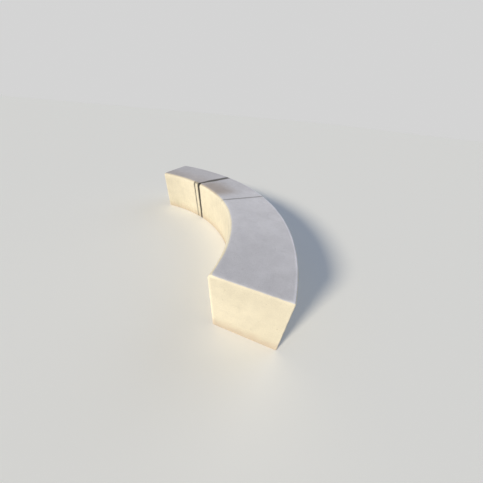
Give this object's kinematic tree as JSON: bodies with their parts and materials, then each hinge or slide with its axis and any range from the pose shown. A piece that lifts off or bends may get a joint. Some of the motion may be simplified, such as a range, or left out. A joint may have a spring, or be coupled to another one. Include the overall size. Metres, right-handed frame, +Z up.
{
  "type": "curved concrete kerb",
  "caption": "Quarter-circle kerb of precast concrete units with a seat-high section battered on its hollow side, a flat top and rounded arrises, standing free on its flat base.",
  "frame": {"origin": "centre of the kerb's plan box, on the ground plane that its base stands on", "axes": "+X along the kerb from its far end to its near end, +Y from the hollow side to the bulging side, +Z up"},
  "size_m": [2.5986, 0.8788, 0.45],
  "materials": {
    "concrete": "fair-faced precast concrete, pale warm grey, matt, fine pores"
  },
  "bodies": {
    "root": {"near_unit": "concrete", "middle_unit": "concrete", "far_unit": "concrete"}
  },
  "joints": []
}
